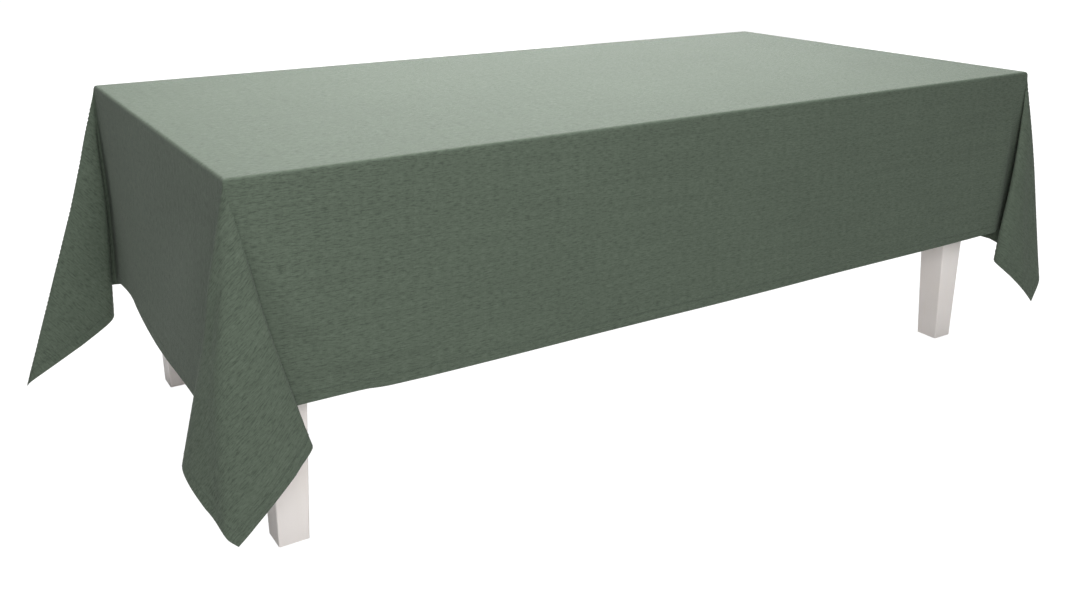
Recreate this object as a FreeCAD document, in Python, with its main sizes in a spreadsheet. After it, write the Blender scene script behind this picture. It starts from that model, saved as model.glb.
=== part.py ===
import FreeCAD, Part
import math
import os

import Sketcher

# A rectangular dining table under a loose tablecloth.
# Millimetres. Origin on the floor under the middle of the table, +X along the long side to the
# right, +Y to the back, +Z up. The cloth is a second body that lifts straight off the table.

V = FreeCAD.Vector
UP = V(0, 0, 1)

# ---------------------------------------------------------------- driving dimensions

SIZES = {
    # table top
    "table_length": 2100,
    "table_width": 1070,
    "table_height": 750,
    "top_thickness": 25,
    "top_corner_radius": 9,
    "top_edge_radius": 4,
    # legs: a straight square head at the rails, tapering from there to the foot
    "leg_head_width": 90,
    "leg_foot_width": 60,
    "leg_head_height": 120,
    "leg_edge_radius": 3,
    "foot_inset_end": 85,
    "foot_inset_side": 100,
    "glide_radius": 14,
    "glide_height": 4,
    # rails under the top
    "rail_height": 95,
    "rail_thickness": 22,
    "rail_reveal": 10,
    "cross_rail_height": 70,
    # pressed steel plates that pull each leg into its corner
    "plate_thickness": 3,
    "plate_height": 64,
    "plate_flange": 40,
    "plate_clearance": 15,
    "bolt_radius": 4,
    "bolt_grip": 45,
    "bolt_spacing": 34,
    "nut_radius": 7.5,
    "nut_height": 6.5,
    # screws, and steel angles that hold the top down on the rails
    "screw_radius": 2,
    "screw_length": 16,
    "screw_head_radius": 4,
    "screw_head_height": 2,
    "angle_thickness": 2,
    "angle_flange": 28,
    "angle_width": 30,
    # cloth: thickness, clearance round the top, and how far it hangs on each side
    "cloth_thickness": 1,
    "cloth_clearance": 0.3,
    "drop_front": 425,
    "drop_back": 525,
    "drop_left": 480,
    "drop_right": 470,
    # cloth longer than the table is high lies back from the floor by this much
    "floor_clearance": 10,
}

# Each corner of the cloth hangs in a fold: a kite with its point at the table corner, its tip
# at the cloth's own corner, and a ridge down each side. Places are offsets outward from the
# corner of the hanging cloth: end is away from the table's short end, side is away from its
# long side, and a negative offset is back along the edge.
FOLDS = {
    "front_left": {"side_ridge": (-138, 0), "end_ridge": (85, -85), "tip": (14, 14)},
    "front_right": {"side_ridge": (-77, 0), "end_ridge": (120, 0), "tip": (54, 54)},
    "back_left": {"side_ridge": (-60, 30), "end_ridge": (15, -14), "tip": (215, -50)},
    "back_right": {"side_ridge": (-60, 30), "end_ridge": (15, -14), "tip": (215, 54)},
}
CORNERS = {"front_left": (-1, -1), "front_right": (1, -1), "back_left": (-1, 1), "back_right": (1, 1)}

doc = FreeCAD.newDocument("TableAndCloth")
sheet = doc.addObject("Spreadsheet::Sheet", "Sizes")


def fill_sheet():
    """Write the driving dimensions, and the places of the cloth folds, into the sheet."""
    values = dict(SIZES)
    for corner, places in FOLDS.items():
        for place, (end, side) in places.items():
            values[f"{corner}_{place}_end"] = end
            values[f"{corner}_{place}_side"] = side
    for row, (alias, value) in enumerate(values.items(), start=1):
        sheet.set(f"A{row}", alias.replace("_", " "))
        sheet.set(f"B{row}", str(value))
        sheet.setAlias(f"B{row}", alias)
    doc.recompute()


def size(alias):
    """Read one driving dimension back from the sheet."""
    return float(sheet.get(alias))


def cell(alias):
    """Name one driving dimension inside an expression."""
    return f"Sizes.{alias}"


fill_sheet()

# ---------------------------------------------------------------- places used more than once

TOP_UNDERSIDE = f"({cell('table_height')} - {cell('top_thickness')})"
LEG_HEIGHT = f"({TOP_UNDERSIDE} - {cell('glide_height')})"
# middle of a leg, and its inner faces at the head, from the middle of the table
LEG_X = f"({cell('table_length')} / 2 - {cell('foot_inset_end')} - {cell('leg_foot_width')} / 2)"
LEG_Y = f"({cell('table_width')} / 2 - {cell('foot_inset_side')} - {cell('leg_foot_width')} / 2)"
HALF_HEAD = f"({cell('leg_head_width')} / 2)"
INNER_X = f"({LEG_X} - {HALF_HEAD})"
INNER_Y = f"({LEG_Y} - {HALF_HEAD})"
# from a leg's inner face out to a rail's inner face
RAIL_SET_OUT = f"({cell('leg_head_width')} - {cell('rail_reveal')} - {cell('rail_thickness')})"
RAIL_X = f"({INNER_X} + {RAIL_SET_OUT})"
RAIL_Y = f"({INNER_Y} + {RAIL_SET_OUT})"
RAIL_MIDDLE_Z = f"({TOP_UNDERSIDE} - {cell('rail_height')} / 2)"
# the cloth's faces: inner and outer, and its upper face
CLOTH_INNER_X = f"({cell('table_length')} / 2 + {cell('cloth_clearance')})"
CLOTH_INNER_Y = f"({cell('table_width')} / 2 + {cell('cloth_clearance')})"
CLOTH_UNDER_Z = f"({cell('table_height')} + {cell('cloth_clearance')})"
# the corner plate's bend, from the leg's inner corner
PLATE_BEND = f"({RAIL_SET_OUT} + {cell('plate_clearance')} * sqrt(2))"

# ---------------------------------------------------------------- modelling helpers


def bind(item, **expressions):
    """Tie properties to the sheet; Base_x, Base_y and Base_z are the placement."""
    for name, expression in expressions.items():
        path = name.replace("Base_", ".Placement.Base.") if name.startswith("Base_") else name
        item.setExpression(path, str(expression))
    return item


def turn(item, rotation):
    """Turn an object about its own origin, before its place is bound."""
    item.Placement = FreeCAD.Placement(V(0, 0, 0), rotation)
    return item


def new_body(label):
    body = doc.addObject("PartDesign::Body", label)
    body.Label = label
    return body


def evaluate(item, expression):
    """The present value of an expression, in millimetres."""
    return float(getattr(item.evalExpression(expression), "Value", item.evalExpression(expression)))


def polygon(body, name, plane_role, corners, height="0"):
    """A closed outline on one of the body's own planes, each corner tied to the sheet."""
    plane = next(f for f in body.Origin.OriginFeatures if f.Role == plane_role)
    sketch = body.newObject("Sketcher::SketchObject", name)
    sketch.AttachmentSupport = [(plane, "")]
    sketch.MapMode = "FlatFace"
    sketch.setExpression("AttachmentOffset.Base.z", height)
    places = [V(evaluate(sketch, x), evaluate(sketch, y), 0) for x, y in corners]
    for index, place in enumerate(places):
        sketch.addGeometry(Part.LineSegment(place, places[(index + 1) % len(places)]), False)
    for index in range(len(places)):
        sketch.addConstraint(Sketcher.Constraint("Coincident", index, 2, (index + 1) % len(places), 1))
    for index, (place, corner) in enumerate(zip(places, corners)):
        for kind, value, expression in zip(("DistanceX", "DistanceY"), place, corner):
            number = sketch.addConstraint(Sketcher.Constraint(kind, -1, 1, index, 1, value))
            sketch.setExpression(f"Constraints[{number}]", expression)
    return sketch


def rectangle(half_x, half_y):
    """Corners of a rectangle about the origin."""
    return [
        (f"-{half_x}", f"-{half_y}"),
        (half_x, f"-{half_y}"),
        (half_x, half_y),
        (f"-{half_x}", half_y),
    ]


def pad(body, sketch, length, midplane=False):
    """Extrude an outline."""
    feature = body.newObject("PartDesign::Pad", f"{sketch.Name}_pad")
    feature.Profile = sketch
    feature.Midplane = midplane
    feature.setExpression("Length", length)
    return feature


def fillet_edges(body, base, radius, chosen):
    """Round the edges of the last feature that a test picks out."""
    doc.recompute()
    names = [f"Edge{n}" for n, edge in enumerate(base.Shape.Edges, start=1) if chosen(edge)]
    feature = body.newObject("PartDesign::Fillet", f"{base.Name}_round")
    feature.Base = (base, names)
    feature.setExpression("Radius", radius)
    return feature


def rod(name, radius, length, direction, x, y, z):
    """A round bar from a point along a direction."""
    bar = doc.addObject("Part::Cylinder", name)
    turn(bar, FreeCAD.Rotation(UP, direction))
    return bind(bar, Radius=radius, Height=length, Base_x=x, Base_y=y, Base_z=z)


def block(label, x, y, z, length, width, height):
    """A rectangular bar from its lowest corner."""
    box = doc.addObject("Part::Box", label)
    box.Label = label
    return bind(box, Base_x=x, Base_y=y, Base_z=z, Length=length, Width=width, Height=height)


def group(label, pieces):
    """Several loose solids under one name."""
    compound = doc.addObject("Part::Compound", label)
    compound.Label = label
    compound.Links = pieces
    return compound


def cut(label, base, tools):
    """Cut the tools' shape out of a piece."""
    result = doc.addObject("Part::Cut", label)
    result.Label = label
    result.Base = base
    result.Tool = tools[0] if len(tools) == 1 else group(f"{label}_holes", tools)
    return result


def screw(name, direction, x, y, z, under_head):
    """A round-headed screw; its shank starts at a face that it passes, under_head back from it."""
    along = {"x": direction.x, "y": direction.y, "z": direction.z}
    face = {"x": x, "y": y, "z": z}
    seat = {axis: f"{face[axis]} - ({along[axis]}) * {under_head}" for axis in "xyz"}
    crown = {axis: f"{seat[axis]} - ({along[axis]}) * {cell('screw_head_height')}" for axis in "xyz"}
    shank = rod(f"{name}_shank", cell("screw_radius"), cell("screw_length"), direction, **seat)
    head = doc.addObject("Part::Cone", f"{name}_head")
    turn(head, FreeCAD.Rotation(UP, direction))
    bind(
        head,
        Radius1=f"{cell('screw_head_radius')} * 0.6",
        Radius2=cell("screw_head_radius"),
        Height=cell("screw_head_height"),
        Base_x=crown["x"],
        Base_y=crown["y"],
        Base_z=crown["z"],
    )
    whole = doc.addObject("Part::Fuse", name)
    whole.Base = shank
    whole.Tool = head
    return whole, shank


# ---------------------------------------------------------------- legs, rails and hardware


def leg_body(corner, sign_x, sign_y):
    """A square leg: tapered below, straight at the head."""
    body = new_body(f"turned_{corner}")
    taper_height = f"({LEG_HEIGHT} - {cell('leg_head_height')})"
    half_foot = f"({cell('leg_foot_width')} / 2)"
    foot = polygon(body, f"foot_{corner}", "XY_Plane", rectangle(half_foot, half_foot))
    head = polygon(body, f"head_{corner}", "XY_Plane", rectangle(HALF_HEAD, HALF_HEAD), taper_height)
    taper = body.newObject("PartDesign::AdditiveLoft", f"taper_{corner}")
    taper.Profile = foot
    taper.Sections = [head]
    taper.Ruled = True
    upper = pad(body, head, cell("leg_head_height"))
    fillet_edges(body, upper, cell("leg_edge_radius"), is_upright)
    return bind(
        body,
        Base_x=f"({sign_x}) * {LEG_X}",
        Base_y=f"({sign_y}) * {LEG_Y}",
        Base_z=cell("glide_height"),
    )


def is_upright(edge):
    """True for an edge that runs up, or up and slightly in."""
    start, end = edge.Vertexes[0].Point, edge.Vertexes[-1].Point
    return abs(end.z - start.z) > 0.5 * (end - start).Length


def leg_bolts(corner, sign_x, sign_y):
    """Two hanger bolts on the diagonal, from inside the leg out through the corner plate."""
    inward = V(-sign_x, -sign_y, 0).normalize()
    in_air = f"({cell('plate_clearance')} + {cell('plate_thickness')} + {cell('nut_height')} * 1.6)"
    reach = f"({cell('bolt_grip')} + {in_air})"
    bolts = []
    for place in (-1, 1):
        bolts.append(
            rod(
                f"bolt_{corner}_{'low' if place < 0 else 'high'}",
                cell("bolt_radius"),
                reach,
                inward,
                f"({sign_x}) * ({INNER_X} + {cell('bolt_grip')} / sqrt(2))",
                f"({sign_y}) * ({INNER_Y} + {cell('bolt_grip')} / sqrt(2))",
                f"{RAIL_MIDDLE_Z} + ({place}) * {cell('bolt_spacing')} / 2",
            )
        )
    return bolts


def leg_nuts(corner, sign_x, sign_y, bolts):
    """A hexagon nut against the plate, on each bolt."""
    inward = V(-sign_x, -sign_y, 0).normalize()
    seat = f"(({cell('plate_clearance')} + {cell('plate_thickness')}) / sqrt(2))"
    nuts = []
    for place, bolt in zip((-1, 1), bolts):
        blank = doc.addObject("Part::Prism", f"blank_{bolt.Name}")
        blank.Polygon = 6
        turn(blank, FreeCAD.Rotation(UP, inward))
        bind(
            blank,
            Circumradius=cell("nut_radius"),
            Height=cell("nut_height"),
            Base_x=f"({sign_x}) * ({INNER_X} - {seat})",
            Base_y=f"({sign_y}) * ({INNER_Y} - {seat})",
            Base_z=f"{RAIL_MIDDLE_Z} + ({place}) * {cell('bolt_spacing')} / 2",
        )
        nuts.append(cut(f"nut_{bolt.Name}", blank, [bolt]))
    return nuts


def corner_plate(corner, sign_x, sign_y):
    """A bent plate across the corner, with a flange on each rail. Its own x and y run inward."""
    body = new_body(f"pressing_{corner}")
    out = f"-{RAIL_SET_OUT}"
    thick = cell("plate_thickness")
    end = f"({PLATE_BEND} + {cell('plate_flange')})"
    inner_bend = f"({PLATE_BEND} + {thick} * (sqrt(2) - 1))"
    outline = [
        (end, out),
        (PLATE_BEND, out),
        (out, PLATE_BEND),
        (out, end),
        (f"{out} + {thick}", end),
        (f"{out} + {thick}", inner_bend),
        (inner_bend, f"{out} + {thick}"),
        (end, f"{out} + {thick}"),
    ]
    sketch = polygon(body, f"plate_{corner}", "XY_Plane", outline)
    pad(body, sketch, cell("plate_height"), midplane=True)
    # the plate is the same both sides of its diagonal, so a turn carries it to each corner
    turns = {(-1, -1): 0, (1, -1): 90, (1, 1): 180, (-1, 1): 270}
    turn(body, FreeCAD.Rotation(UP, turns[(sign_x, sign_y)]))
    return bind(
        body,
        Base_x=f"({sign_x}) * {INNER_X}",
        Base_y=f"({sign_y}) * {INNER_Y}",
        Base_z=RAIL_MIDDLE_Z,
    )


def plate_screws(corner, sign_x, sign_y):
    """Two screws through each flange of a corner plate; returned with the rail that they enter."""
    spot = f"({PLATE_BEND} + {cell('plate_flange')} / 2)"
    side_rail, end_rail = (f"rail_{word}" for word in side_and_end(corner))
    screws = []
    for place in (-1, 1):
        level = f"{RAIL_MIDDLE_Z} + ({place}) * {cell('plate_height')} / 4"
        word = "low" if place < 0 else "high"
        along_side = screw(
            f"screw_{corner}_side_{word}",
            V(0, sign_y, 0),
            f"({sign_x}) * ({INNER_X} - {spot})",
            f"({sign_y}) * {RAIL_Y}",
            level,
            cell("plate_thickness"),
        )
        along_end = screw(
            f"screw_{corner}_end_{word}",
            V(sign_x, 0, 0),
            f"({sign_x}) * {RAIL_X}",
            f"({sign_y}) * ({INNER_Y} - {spot})",
            level,
            cell("plate_thickness"),
        )
        screws.append((*along_side, side_rail))
        screws.append((*along_end, end_rail))
    return screws


def side_and_end(corner):
    """front_left is at the front side and the left end."""
    return corner.split("_")


def top_angle(name, outward, x, y):
    """A steel angle in the corner of a rail and the top; outward points at the rail."""
    body = new_body(f"angle_{name}")
    thick, flange = cell("angle_thickness"), cell("angle_flange")
    outline = [
        ("0", "0"),
        ("0", f"-{flange}"),
        (thick, f"-{flange}"),
        (thick, f"-{thick}"),
        (flange, f"-{thick}"),
        (flange, "0"),
    ]
    sketch = polygon(body, f"bend_{name}", "XZ_Plane", outline)
    pad(body, sketch, cell("angle_width"), midplane=True)
    turn(body, FreeCAD.Rotation(V(-1, 0, 0), outward))
    bind(body, Base_x=x, Base_y=y, Base_z=TOP_UNDERSIDE)
    inset = f"{flange} * 0.6"
    into_rail = screw(
        f"screw_{name}_rail", outward, x, y, f"{TOP_UNDERSIDE} - {inset}", cell("angle_thickness")
    )
    into_top = screw(
        f"screw_{name}_top",
        UP,
        f"{x} - ({outward.x}) * {inset}",
        f"{y} - ({outward.y}) * {inset}",
        TOP_UNDERSIDE,
        cell("angle_thickness"),
    )
    return body, into_rail, into_top


def glide(corner, sign_x, sign_y):
    """A round pad under a leg."""
    label = f"glide_{corner}"
    x, y = f"({sign_x}) * {LEG_X}", f"({sign_y}) * {LEG_Y}"
    pad_under_leg = rod(label, cell("glide_radius"), cell("glide_height"), UP, x, y, "0")
    pad_under_leg.Label = label
    return pad_under_leg


def build_frame():
    """Everything under the top; returns the nodes and the screws that enter the top."""
    nodes, bolts, nuts, screws, angles, top_shanks = [], [], [], [], [], []
    for corner, (sign_x, sign_y) in CORNERS.items():
        corner_bolts = leg_bolts(corner, sign_x, sign_y)
        bolts += corner_bolts
        nuts += leg_nuts(corner, sign_x, sign_y, corner_bolts)
        corner_screws = plate_screws(corner, sign_x, sign_y)
        screws += corner_screws
        nodes.append(cut(f"leg_{corner}", leg_body(corner, sign_x, sign_y), corner_bolts))
        shanks = [shank for _, shank, _ in corner_screws]
        plate = corner_plate(corner, sign_x, sign_y)
        nodes.append(cut(f"corner_plate_{corner}", plate, corner_bolts + shanks))
        nodes.append(glide(corner, sign_x, sign_y))

    quarter = f"({INNER_X} / 2)"
    angle_places = {
        "front_1": (V(0, -1, 0), f"-{quarter}", f"-{RAIL_Y}", "rail_front"),
        "front_2": (V(0, -1, 0), quarter, f"-{RAIL_Y}", "rail_front"),
        "back_1": (V(0, 1, 0), f"-{quarter}", RAIL_Y, "rail_back"),
        "back_2": (V(0, 1, 0), quarter, RAIL_Y, "rail_back"),
        "left_1": (V(-1, 0, 0), f"-{RAIL_X}", "0", "rail_left"),
        "right_1": (V(1, 0, 0), RAIL_X, "0", "rail_right"),
    }
    angle_screws, drilled = [], []
    for name, (outward, x, y, rail) in angle_places.items():
        body, into_rail, into_top = top_angle(name, outward, x, y)
        angles.append(cut(f"drilled_{name}", body, [into_rail[1], into_top[1]]))
        angle_screws += [into_rail[0], into_top[0]]
        drilled.append((rail, into_rail[1]))
        top_shanks.append(into_top[1])
    drilled += [(rail, shank) for _, shank, rail in screws]

    for rail, rough in rough_rails().items():
        nodes.append(cut(rail, rough, [shank for name, shank in drilled if name == rail]))
    nodes.append(
        block(
            "rail_cross",
            f"-{cell('rail_thickness')} / 2",
            f"-{RAIL_Y}",
            f"{TOP_UNDERSIDE} - {cell('cross_rail_height')}",
            cell("rail_thickness"),
            f"2 * {RAIL_Y}",
            cell("cross_rail_height"),
        )
    )
    nodes.append(group("leg_bolts", bolts))
    nodes.append(group("leg_nuts", nuts))
    nodes.append(group("corner_plate_screws", [whole for whole, _, _ in screws]))
    nodes.append(group("top_angles", angles))
    nodes.append(group("top_angle_screws", angle_screws))
    return nodes, top_shanks


def rough_rails():
    """The four rails before their screw holes."""
    low = f"{TOP_UNDERSIDE} - {cell('rail_height')}"
    thick, tall = cell("rail_thickness"), cell("rail_height")
    return {
        "rail_front": block("plain_front", f"-{INNER_X}", f"-{RAIL_Y} - {thick}", low,
                            f"2 * {INNER_X}", thick, tall),
        "rail_back": block("plain_back", f"-{INNER_X}", RAIL_Y, low, f"2 * {INNER_X}", thick, tall),
        "rail_left": block("plain_left", f"-{RAIL_X} - {thick}", f"-{INNER_Y}", low,
                           thick, f"2 * {INNER_Y}", tall),
        "rail_right": block("plain_right", RAIL_X, f"-{INNER_Y}", low, thick, f"2 * {INNER_Y}", tall),
    }


def build_top(shanks):
    """The table top, rounded at its corners and edges."""
    body = new_body("sanded_top")
    half_length, half_width = f"({cell('table_length')} / 2)", f"({cell('table_width')} / 2)"
    sketch = polygon(body, "top_outline", "XY_Plane", rectangle(half_length, half_width))
    slab = pad(body, sketch, cell("top_thickness"))
    corners = fillet_edges(body, slab, cell("top_corner_radius"), is_upright)
    rim = fillet_edges(body, corners, cell("top_edge_radius"), lambda edge: not is_upright(edge))
    body.Tip = rim
    bind(body, Base_z=TOP_UNDERSIDE)
    return cut("tabletop", body, shanks)


# ---------------------------------------------------------------- cloth


def build_cloth():
    """The cloth as thin plates: one on the top, one hanging on each side, and four folds."""
    thick = cell("cloth_thickness")
    outer_x, outer_y = f"({CLOTH_INNER_X} + {thick})", f"({CLOTH_INNER_Y} + {thick})"
    nodes = [
        block("cloth_top", f"-{outer_x}", f"-{outer_y}", CLOTH_UNDER_Z,
              f"2 * {outer_x}", f"2 * {outer_y}", thick)
    ]
    for name, low_y in (("front", f"-{outer_y}"), ("back", CLOTH_INNER_Y)):
        hem = f"({cell('table_height')} - {cell('drop_' + name)})"
        nodes.append(block(f"cloth_drop_{name}", f"-{outer_x}", low_y, hem,
                           f"2 * {outer_x}", thick, f"{CLOTH_UNDER_Z} - {hem}"))
    for name, low_x in (("left", f"-{outer_x}"), ("right", CLOTH_INNER_X)):
        hem = f"({cell('table_height')} - {cell('drop_' + name)})"
        nodes.append(block(f"cloth_drop_{name}", low_x, f"-{CLOTH_INNER_Y}", hem,
                           thick, f"2 * {CLOTH_INNER_Y}", f"{CLOTH_UNDER_Z} - {hem}"))
    nodes += [cloth_fold(corner, *signs) for corner, signs in CORNERS.items()]
    return nodes


def cloth_fold(corner, sign_x, sign_y):
    """The outer shape of one hanging fold, as a closed solid against the two drops."""
    side, end = side_and_end(corner)
    side_drop, end_drop = size(f"drop_{side}"), size(f"drop_{end}")
    sheet_out = size("cloth_clearance") + size("cloth_thickness")
    face_x = size("table_length") / 2 + sheet_out
    face_y = size("table_width") / 2 + sheet_out
    upper = size("table_height") + sheet_out

    def point(end_out, side_out, down):
        return V(sign_x * (face_x + end_out), sign_y * (face_y + side_out), upper - down)

    def hung(place, cloth_length):
        """A point of the hem, as far down as its length of cloth or the floor lets it hang."""
        end_out = size(f"{corner}_{place}_end")
        side_out = size(f"{corner}_{place}_side")
        down = math.sqrt(cloth_length**2 - end_out**2 - side_out**2)
        return point(end_out, side_out, min(down, upper - size("floor_clearance")))

    # a ridge runs to the hem this far past square to its edge
    ridge_stretch = 1 / math.cos(math.radians(32))
    apex = point(0, 0, 0)
    heel = point(0, 0, min(side_drop, end_drop))
    side_ridge = hung("side_ridge", side_drop * ridge_stretch)
    end_ridge = hung("end_ridge", end_drop * ridge_stretch)
    tip = hung("tip", math.hypot(side_drop, end_drop))
    triangles = [
        (apex, side_ridge, tip),
        (apex, tip, end_ridge),
        (apex, end_ridge, heel),
        (apex, heel, side_ridge),
        (heel, end_ridge, tip),
        (heel, tip, side_ridge),
    ]
    faces = [Part.Face(Part.makePolygon([*corners, corners[0]])) for corners in triangles]
    solid = Part.makeSolid(Part.makeShell(faces))
    if solid.Volume < 0:
        solid.reverse()
    label = f"cloth_fold_{corner}"
    feature = doc.addObject("Part::Feature", label)
    feature.Label = label
    feature.Shape = solid
    return feature


# ---------------------------------------------------------------- checks and files


def check_and_export(nodes):
    """Stop on any failed feature or bad shape, then write one file for each node."""
    doc.recompute()
    for item in doc.Objects:
        if {"Invalid", "Error"} & set(item.State):
            raise RuntimeError(f"{item.Label} failed: {item.State}")
    os.makedirs("parts", exist_ok=True)
    for node in nodes:
        if node.Shape.isNull() or not node.Shape.isValid() or not node.Shape.Solids:
            raise RuntimeError(f"{node.Label} has no valid solid")
    for node in nodes:
        node.Shape.exportStep(f"parts/{node.Label}.step")


frame_nodes, top_screw_shanks = build_frame()
all_nodes = [build_top(top_screw_shanks), *frame_nodes, *build_cloth()]
check_and_export(all_nodes)
print(f"{len(all_nodes)} nodes written")
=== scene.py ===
"""A slub-woven tablecloth on a dining table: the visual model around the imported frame.

Laid out as a Blender add-on and run as a script.
"""

import math

import bpy
import numpy as np
from bpy.props import FloatProperty, FloatVectorProperty, IntProperty, PointerProperty
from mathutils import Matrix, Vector


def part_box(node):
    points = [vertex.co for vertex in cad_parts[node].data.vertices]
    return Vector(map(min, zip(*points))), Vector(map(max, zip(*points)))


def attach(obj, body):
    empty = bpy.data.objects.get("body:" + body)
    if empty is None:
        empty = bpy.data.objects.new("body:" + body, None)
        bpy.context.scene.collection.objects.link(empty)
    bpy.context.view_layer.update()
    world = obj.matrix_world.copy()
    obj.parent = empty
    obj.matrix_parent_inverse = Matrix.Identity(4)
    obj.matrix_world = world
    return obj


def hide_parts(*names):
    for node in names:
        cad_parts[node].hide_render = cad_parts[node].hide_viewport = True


bl_info = {
    "name": "Tablecloth on a Table",
    "version": (1, 0, 0),
    "blender": (4, 5, 0),
    "location": "View3D > Sidebar > Tablecloth",
    "description": "Drapes a woven tablecloth over a white table and lights it",
    "category": "Object",
}

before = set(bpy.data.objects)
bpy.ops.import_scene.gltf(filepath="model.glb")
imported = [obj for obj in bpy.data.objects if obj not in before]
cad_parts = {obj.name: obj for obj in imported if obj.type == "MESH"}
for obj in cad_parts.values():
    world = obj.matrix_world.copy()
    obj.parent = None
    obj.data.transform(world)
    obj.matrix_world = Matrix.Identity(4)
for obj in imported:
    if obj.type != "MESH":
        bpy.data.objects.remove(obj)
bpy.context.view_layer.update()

# The middle of the cloth's thickness, read from the plain pieces that it replaces.
TOP_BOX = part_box("cloth_top")
FRONT_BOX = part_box("cloth_drop_front")
BACK_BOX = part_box("cloth_drop_back")
LEFT_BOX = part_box("cloth_drop_left")
RIGHT_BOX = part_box("cloth_drop_right")
TABLE_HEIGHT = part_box("tabletop")[1].z
HALF_X = (RIGHT_BOX[0].x + RIGHT_BOX[1].x) / 2
HALF_Y = (BACK_BOX[0].y + BACK_BOX[1].y) / 2
TOP_Z = (TOP_BOX[0].z + TOP_BOX[1].z) / 2

# How the spare cloth folds at each corner of the table, seen from above one unit below the corner:
# (inward along the front or back, inward along the end, angle on the flat cloth where it is known).
# Straight lines from the corner through this curve are the cloth.
FRONT_LEFT_FOLD = [
    (1, 0, 45), (0.5, 0), (0.2, 0), (0.03, 0), (-0.01, -0.004), (0.03, -0.010), (0.11, -0.012),
    (0.145, -0.018), (0.11, -0.024), (0.02, -0.024), (-0.012, -0.030), (0.02, -0.036),
    (0.15, -0.034), (0.235, -0.030), (0.268, -0.040, 123.7), (0.23, -0.058), (0.12, -0.065),
    (-0.045, -0.03, 138.5), (-0.105, 0.02), (-0.155, 0.085), (-0.178, 0.15, 153.8),
    (-0.16, 0.185), (-0.11, 0.15), (-0.05, 0.06), (-0.035, 0.03), (-0.03, 0.06),
    (-0.028, 0.13), (-0.018, 0.155), (-0.012, 0.13), (-0.01, 0.04), (-0.003, 0.02),
    (0, 0.06), (0, 0.2), (0, 0.5), (0, 1, 225),
]
FRONT_RIGHT_FOLD = [
    (1, 0, 45), (0.5, 0), (0.2, 0), (0.02, 0), (-0.14, 0.005), (-0.20, -0.01), (-0.16, -0.03),
    (0, -0.03), (0.11, -0.02), (0.15, -0.04, 123.0), (0.10, -0.072), (0, -0.09),
    (-0.10, -0.08, 137.9), (-0.18, -0.055), (-0.225, 0, 146.5), (-0.21, 0.08),
    (-0.13, 0.17), (-0.06, 0.28), (-0.035, 0.295), (-0.03, 0.2), (-0.025, 0.08),
    (-0.005, 0.05), (0, 0.2), (0, 0.5), (0, 1, 225),
]
BACK_FOLD = [
    (1, 0, 45), (0.5, 0), (0.2, 0), (0.06, 0), (-0.01, -0.004), (-0.10, -0.016), (-0.18, -0.026),
    (-0.208, -0.018), (-0.18, -0.004), (-0.09, 0), (-0.036, 0.002), (-0.022, 0.008),
    (-0.05, 0.014), (-0.13, 0.03), (-0.24, 0.057), (-0.338, 0.082), (-0.354, 0.097, 132.4),
    (-0.338, 0.112), (-0.28, 0.126), (-0.19, 0.140), (-0.10, 0.147), (-0.058, 0.143),
    (-0.038, 0.125, 147), (-0.038, 0.105), (-0.06, 0.097), (-0.15, 0.106), (-0.245, 0.108),
    (-0.288, 0.099), (-0.27, 0.086), (-0.19, 0.066), (-0.12, 0.052), (-0.06, 0.038),
    (-0.02, 0.024), (-0.003, 0.03), (0, 0.07), (0, 0.2), (0, 0.5), (0, 1, 225),
]
# The spare cloth at the back left corner, from the back (0) to the end (1) of the table, and how
# much of the corner's pull it takes there.
TURNS = (0, 0.25, 0.42, 0.471, 0.634, 1)
PULLS = (-0.5, -0.2, 0.55, 1, 0, 0.8)
# How far the cloth's pull reaches from the corner, and the depth below the top of its full pull.
PULL_REACH = 0.35
PULL_DEPTH = 0.48
# (end of the table, side of the table, fold)
CORNERS = [
    (-1, -1, FRONT_LEFT_FOLD),
    (1, -1, FRONT_RIGHT_FOLD),
    (-1, 1, BACK_FOLD),
    (1, 1, BACK_FOLD),
]
CLOTH_NODES = ["cloth_top"]
CLOTH_NODES += [f"cloth_drop_{side}" for side in ("front", "back", "left", "right")]
CLOTH_NODES += [
    f"cloth_fold_{corner}"
    for corner in ("front_left", "front_right", "back_left", "back_right")
]
DRAPES = {}

# Places along and across a bend that are averaged to round it: (share of the reach, weight).
ROUNDING = ((-1, 1), (-0.5, 2), (0, 2), (0.5, 2), (1, 1))
# The folds bend more softly further from the corner: by how much more, and over what distance.
FOLD_SOFTNESS = 0.7
FOLD_SOFT_AFTER = 0.12
# The cloth is held still down to this depth below the top, and settles freely this much lower.
HELD_DEPTH = 0.02
FREE_AFTER = 0.28
# The hanging sides are uneven between the corners: the distance from a corner over which that
# starts, along the table and across it, and the depth at which it is as large as it is set.
WAVE_START_X = 0.3
WAVE_START_Y = 0.2
WAVE_DEPTH = 0.4
# What the settling cloth is like, under Blender's names for its springs, damping and weight.
SETTLING_CLOTH = {
    "quality": 6,
    "mass": 0.3,
    "tension_stiffness": 60,
    "compression_stiffness": 60,
    "shear_stiffness": 30,
    "tension_damping": 10,
    "compression_damping": 10,
    "shear_damping": 10,
    "bending_damping": 2,
    "air_damping": 3,
    "vertex_group_mass": "held",
}
# The hem is sewn this far from its inner border.
SEWING_INSET = 0.002
# The floor lies this far under the feet. It glows a little where the camera looks at it.
FLOOR_GAP = 0.0005
FLOOR_GLOW = 1.2
FLOOR_GLOW_SHARE = 0.86
# (light, where it stands, what it looks at, its width and height)
LIGHTS = [
    ("overhead", (-0.1, 0.3, 3.1), (0, 0, 0), (3.4, 2.6)),
    ("front", (-1.5, -3.4, 2.1), (-0.3, -0.5, 0.45), (2.0, 1.4)),
    ("backdrop", (3.5, 5.2, 1.6), (0.5, 0, 0.75), (6.8, 3.0)),
]


# ---------------------------------------------------------------- the shape of the cloth


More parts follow.
